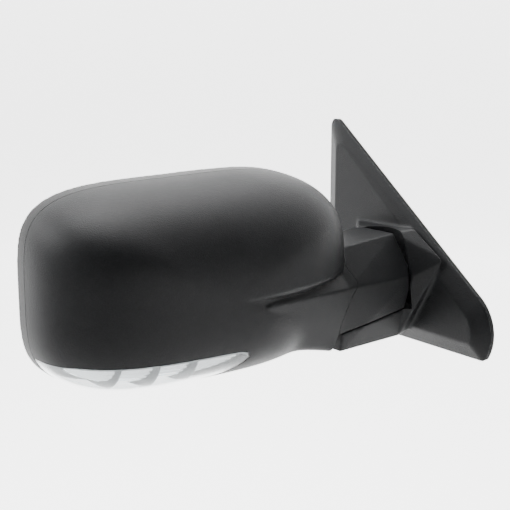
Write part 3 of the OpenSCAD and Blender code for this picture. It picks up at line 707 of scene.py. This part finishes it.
# nothing of the arm stays on the housing, and its rear face is trimmed flat
trim = headPlace @ Matrix.Translation((0, -0.25 * mm, 0)) @ headPlace.inverted()
rearLimit = tool("rearLimit", lambda bm: headSkin(bm, -0.4, 128, 72), trim)
carve(rearHousing, rearLimit, "INTERSECT")
tube = bezelBlock("tube", -bezel["wall"], 6, -60)
rearCore = copyOf(headCore, "rearCore")
carve(rearCore, tube)
carveAll(rearHousing, [neckCut, rearCore])
# the bezel's wall carries on past the seam and hides the lamp from behind
overlapAt = -seams["split"] + seams["gap"] + 1  # it starts 1 mm inside the housing's own wall
bezelTube = bezelBlock("bezelTube", -bezel["wall"], overlapAt, -overlapAt - bezel["depth"])
bezelBore = bezelBlock("bezelBore", 0.1, 10, -60)
carve(bezelTube, bezelBore)
carve(rearHousing, bezelTube, "UNION")
settle(rearHousing, rearAbs)
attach(rearHousing, "head")
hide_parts("rear_housing")
discard(tube, bezelTube, bezelBore, rearCore, rearLimit, hubHole, capSlab, rearSlab, puddleHole)
print("rear housing:", len(rearHousing.data.polygons), "faces")

# signal lamp

lamp = dict(lensWall=2.1, mirrorDepth=7.0, mirrorThick=3, mirrorGap=1.2, wallDepth=2.5, wallGap=0.4, rim=1.2,
            ribPitch=4.4, ribDepth=1.2, tipPitch=3.0, middleRibs=0.3, ribFall=0.12, facing=-0.25,
            dividers=[-99, -67, -32], dividerWide=1.2, far=(-170, 60))
signalLens = tool("signalLens", lambda bm: headSkin(bm, 0.15, 256, 160))
carve(signalLens, lensFit, "INTERSECT")
lensCore = headTool("lensCore", lamp["lensWall"])
carve(signalLens, lensCore)
settle(signalLens, lensClear, 30)
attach(signalLens, "head")
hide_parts("signal_lens")

# the bowl: a slice of the head's skin further in, clear of the bezel
bowl = headTool("signalReflector", lamp["mirrorDepth"])
innerEdge = tool("innerEdge", grownPrism(lensEdge, -lamp["mirrorGap"], seams["ahead"],
                 -seams["lensBack"] - 1), headPlace)
bowlBack = headTool("bowlBack", lamp["mirrorDepth"] + lamp["mirrorThick"])
keepOut = bezelBlock("keepOut", -bezel["wall"] - bezel["clear"], 4, -40)
carve(bowl, innerEdge, "INTERSECT")
carveAll(bowl, [bowlBack, keepOut])
melt(bowl, 0.7 * mm, 1)
toHead = headPlace.inverted()
shape = bmesh.new()
shape.from_mesh(bowl.data)
shape.normal_update()
moves = []
for v in shape.verts:
    here = toHead @ v.co / mm
    outward = (toHead.to_3x3() @ v.normal)
    if outward.y > lamp["facing"]:                         # only the front of the bowl is ribbed
        moves.append(Vector())
        continue
    tip = here.x > lamp["dividers"][2]
    pitch = lamp["tipPitch"] if tip else lamp["ribPitch"]
    sloped = here.z + lamp["ribFall"] * here.x             # the ribs fall a little outboard
    middle = lamp["dividers"][0] < here.x < lamp["dividers"][2]
    rib = abs((sloped / pitch) % 1 - 0.5) * 2
    deep = (rib - 0.5) * lamp["ribDepth"] * (lamp["middleRibs"] if middle else 1)
    moves.append(v.normal * deep * mm)
for v, move in zip(shape.verts, moves):
    v.co += move
shape.to_mesh(bowl.data)
shape.free()
walls = headTool("walls", lamp["wallDepth"])
lensFitIn = lensBlock("lensFitIn", -lamp["wallGap"])
carve(walls, lensFitIn, "INTERSECT")
wallBack = headTool("wallBack", lamp["mirrorDepth"] + 1.5)
carveAll(walls, [wallBack, keepOut])
# only the rim and the dividers stay of the walls
windows, edges = [], [lamp["far"][0]] + lamp["dividers"] + [lamp["far"][1]]
halfWide = lamp["dividerWide"] / 2
for left, right in zip(edges[:-1], edges[1:]):
    pane = lensBlock("pane", -lamp["wallGap"] - lamp["rim"])
    block = tool("block", brick((left + halfWide, -200, -120), (right - halfWide, 0, 0)), headPlace)
    carve(pane, block, "INTERSECT")
    windows.append(pane)
    discard(block)
carveAll(walls, windows)
discard(*windows, lensFitIn, wallBack, lensCore, bowlBack, innerEdge, keepOut)
settle(bowl, reflectorSkin, 60)
# the walls take the grey that paints the shade at the dividers
settle(walls, dividerShadeGrey, 30)
walls.name = "lampWalls"
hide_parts("signal_reflector")
for piece in (bowl, walls):
    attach(piece, "head")
discard(lensCut, lensFit, neckCut, neckFit, headTight, headLoose, headCore, headBody)
print("signal lamp:", len(bowl.data.polygons), "faces")

# mirror glass

glassEdge = dict(thick=2, bevel=0.7, points=240)
glassBuild = bmesh.new()
rimLine(glassBuild, bezel["edge"] + bezel["gap"], bezel["inner"] + bezel["gap"], -headPose["glassFace"],
        -glassEdge["thick"], glassEdge["points"])
bmesh.ops.recalc_face_normals(glassBuild, faces=glassBuild.faces)
border = [e for e in glassBuild.edges if e.is_manifold and e.calc_face_angle(0) > 1]
bmesh.ops.bevel(glassBuild, geom=border, offset=glassEdge["bevel"] * mm, segments=3, profile=0.5,
                affect="EDGES", material=-1)
bmesh.ops.transform(glassBuild, matrix=headPlace, verts=glassBuild.verts)
glassPiece = makeObject("mirrorGlass", glassBuild, mirrorSkin, 25)
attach(glassPiece, "glass")
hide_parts("mirror_glass")
print("glass made")

# sail and its arm root

sail = dict(top=141, front=139, rear=80, drop=67, back=3, skirt=5, deep=14, bevel=17, round=7, noseRound=45,
            noseAt=-42, toe=40, peakDraw=1.35, toeDraw=0.4, voxel=1.4, coreVoxel=3.0, soften=4, openBy=3.5)


def buildSail(bm):
    # discs at the corners, joined by their hull, for the skirt and for the flat face inside the bevel
    def ring(inset, x):
        made, r = [], sail["round"]
        rear, low = sail["rear"] - r - inset, -sail["drop"] + r + inset
        spots = [(sail["noseRound"] - sail["front"], sail["noseAt"], sail["noseRound"] - inset),
                 (rear, sail["top"] - r - inset * sail["peakDraw"], r), (rear, low, r),
                 (sail["toe"] - sail["front"] + inset * sail["toeDraw"], low, r)]
        for y, z, r in spots:
            disc = bmesh.ops.create_circle(bm, cap_ends=False, segments=48, radius=r * mm)["verts"]
            bmesh.ops.rotate(bm, verts=disc, cent=(0, 0, 0), matrix=Matrix.Rotation(math.radians(90), 3, "Y"))
            bmesh.ops.translate(bm, verts=disc, vec=Vector((x, y, z)) * mm)
            for v in disc:
                v.co.z = max(v.co.z, (-sail["drop"] + inset) * mm)
            made += disc
        return made
    verts = ring(0, -sail["back"]) + ring(0, -sail["skirt"]) + ring(sail["bevel"], -sail["deep"])
    bmesh.ops.convex_hull(bm, input=verts)
    bmesh.ops.delete(bm, geom=[v for v in bm.verts if not v.link_faces], context="VERTS")
    bmesh.ops.dissolve_limit(bm, angle_limit=0.01, verts=bm.verts, edges=bm.edges)


def buildRoot(bm):
    hullOf(bm, [(arm["rootX"], arm["root"]), (arm["seatX"], arm["seat"])])


def shelfTools():
    low = -shelf["reach"]
    return [tool("shelfDrum", drum(shelf["drum"], low, 0), foldPlace),
            tool("shelfCone", skirtCone(0, Vector((0, 1, 0))), foldPlace),
            tool("shelfFront", brick((-5, -150, low), (195, 0, 0)), foldPlace),
            tool("shelfRear", brick((20, -150, low), (220, 150, 0)), foldPlace)]


shelfBits = []
for one in shelfTools():
    bit = tool("shelfBit", buildNeck)
    carve(bit, one, "INTERSECT")
    discard(one)
    shelfBits.append(bit)
sailBody = joinShells(tool("sailBody", buildSail), tool("root", buildRoot), *shelfBits)
sailCore = copyOf(sailBody, "sailCore")
melt(sailBody, sail["voxel"] * mm, sail["soften"])
melt(sailCore, sail["coreVoxel"] * mm, 1)
slim(sailCore, arm["wall"] * mm)
sailCore.data.transform(Matrix.Translation((sail["openBy"] * mm, 0, 0)))  # opens it towards the door
pocketRadius, pocketUnder, pocketTop = arm["knuckle"] + arm["gap"], -0.4, 140
pocketWall = tool("pocketWall", drum(pocketRadius + arm["wall"], pocketUnder - arm["wall"], pocketTop),
                  foldPlace)
carve(sailCore, pocketWall)
pocket = tool("pocket", drum(pocketRadius, pocketUnder, pocketTop), foldPlace)
hubBore = tool("hubBore", drum(hub["shelfHole"], -8, 4), foldPlace)
plugBore = tool("plugBore", drum(hub["plug"], -60, -12), foldPlace)
doorSide = tool("doorSide", brick((-sail["back"], -200, -120), (60, 200, 200)))
carveAll(sailBody, [pocket, sailCore, hubBore, plugBore, doorSide])
sailBody.name = "sailCover"
settle(sailBody, coverAbs)
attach(sailBody, "base")
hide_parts("sail_cover")
discard(pocketWall, pocket, hubBore, plugBore, doorSide, sailCore)
print("sail:", len(sailBody.data.polygons), "faces")

# floor, light and camera

stage = dict(floor=-0.45, reach=9.0, wallBack=2.6, wallHigh=7.0, bend=0.8, bendSteps=12,
             glow=3.0, dim=0.06, glowFrom=0.0, glowFull=0.36)  # metres, and how strongly the paper glows
floorBuild = bmesh.new()
bend = [t * math.pi / 2 / stage["bendSteps"] for t in range(stage["bendSteps"] + 1)]
profile = [(-stage["reach"], 0.0), *((stage["wallBack"] - stage["bend"] * (1 - math.sin(t)),
           stage["bend"] * (1 - math.cos(t))) for t in bend), (stage["wallBack"], stage["wallHigh"])]
line = [floorBuild.verts.new((-stage["reach"], y, stage["floor"] + z)) for y, z in profile]
strip = [floorBuild.edges.new(pair) for pair in zip(line[:-1], line[1:])]
swept = bmesh.ops.extrude_edge_only(floorBuild, edges=strip)
farSide = [g for g in swept["geom"] if isinstance(g, bmesh.types.BMVert)]
bmesh.ops.translate(floorBuild, verts=farSide, vec=(2 * stage["reach"], 0, 0))
view = dict(azimuth=-40, elevation=14, lens=88.2, far=1.106, target=(-0.190, -0.020, 0.045))
aim = math.radians(view["azimuth"])
bmesh.ops.rotate(floorBuild, verts=floorBuild.verts, cent=(0, 0, 0), matrix=Matrix.Rotation(aim, 3, "Z"))
bmesh.ops.recalc_face_normals(floorBuild, faces=floorBuild.faces)
paper, paperTree, paperOut, paperPlace = startMaterial("seamlessPaper")  # matt white paper
fibre = addNode(paperTree, "ShaderNodeTexNoise", links=[("Vector", paperPlace, "Object")],
                Scale=40.0, Detail=2.0)
shade = addNode(paperTree, "ShaderNodeValToRGB", links=[("Fac", fibre, "Fac")])
paintRamp(shade, [(0.0, "F6F6F5"), (1.0, "FAFAFA")])
# the paper glows behind the object, like a lit cove, and stays dim in front of it
alongStage = addNode(paperTree, "ShaderNodeMapping", links=[("Vector", paperPlace, "Object")],
                     Rotation=(0, 0, -aim))
depthOf = addNode(paperTree, "ShaderNodeSeparateXYZ", links=[("Vector", alongStage, "Vector")])
glow = addNode(paperTree, "ShaderNodeMapRange", {"interpolation_type": "SMOOTHSTEP"},
               [("Value", depthOf, "Y")], From_Min=stage["glowFrom"], From_Max=stage["glowFull"],
               To_Min=stage["dim"], To_Max=stage["glow"])
paperSkin = addNode(paperTree, "ShaderNodeBsdfPrincipled", links=[("Base Color", shade, "Color"),
                    ("Emission Strength", glow, "Result")], Roughness=0.9,
                    Emission_Color=linearColour("FFFFFF"))
paperTree.links.new(paperSkin.outputs["BSDF"], paperOut.inputs["Surface"])
floor = makeObject("backdrop", floorBuild, paper)

world = bpy.data.worlds.new("studioAir")
bpy.context.scene.world = world
world.use_nodes = True
world.node_tree.nodes["Background"].inputs["Color"].default_value = linearColour("FFFFFF")
world.node_tree.nodes["Background"].inputs["Strength"].default_value = 0.04

softboxes = {  # metres from the target as the camera sees it: right, back, up; then size and watts
    "overhead": dict(at=(-0.2, 0.25, 1.3), size=(1.3, 0.8), power=17),
    "leftBank": dict(at=(-1.3, -0.2, 0.75), size=(0.6, 0.9), power=12),
    "lowRight": dict(at=(1.2, -0.9, -0.02), size=(0.8, 0.5), power=2.5),
}
target = Vector(view["target"])
rightWay = Vector((math.cos(aim), math.sin(aim), 0))
backWay = Vector((-math.sin(aim), math.cos(aim), 0))
for name, box in softboxes.items():
    light = bpy.data.lights.new(name, "AREA")
    light.shape = "RECTANGLE"
    light.size, light.size_y = box["size"]
    light.energy = box["power"]
    light.spread = math.radians(120)                       # a grid keeps the light off the paper
    holder = bpy.data.objects.new(name, light)
    bpy.context.scene.collection.objects.link(holder)
    holder.location = target + rightWay * box["at"][0] + backWay * box["at"][1] + Vector((0, 0, box["at"][2]))
    holder.rotation_euler = (target - holder.location).to_track_quat("-Z", "Y").to_euler()

camera = bpy.data.cameras.new("studioCamera")
camera.lens = view["lens"]
camera.sensor_width = 36
cameraHolder = bpy.data.objects.new("studioCamera", camera)
bpy.context.scene.collection.objects.link(cameraHolder)
a, e = math.radians(view["azimuth"]), math.radians(view["elevation"])
away = Vector((math.sin(a) * math.cos(e), -math.cos(a) * math.cos(e), math.sin(e)))
cameraHolder.location = target + away * view["far"]
cameraHolder.rotation_euler = (-away).to_track_quat("-Z", "Y").to_euler()
bpy.context.scene.camera = cameraHolder
print("stage set")
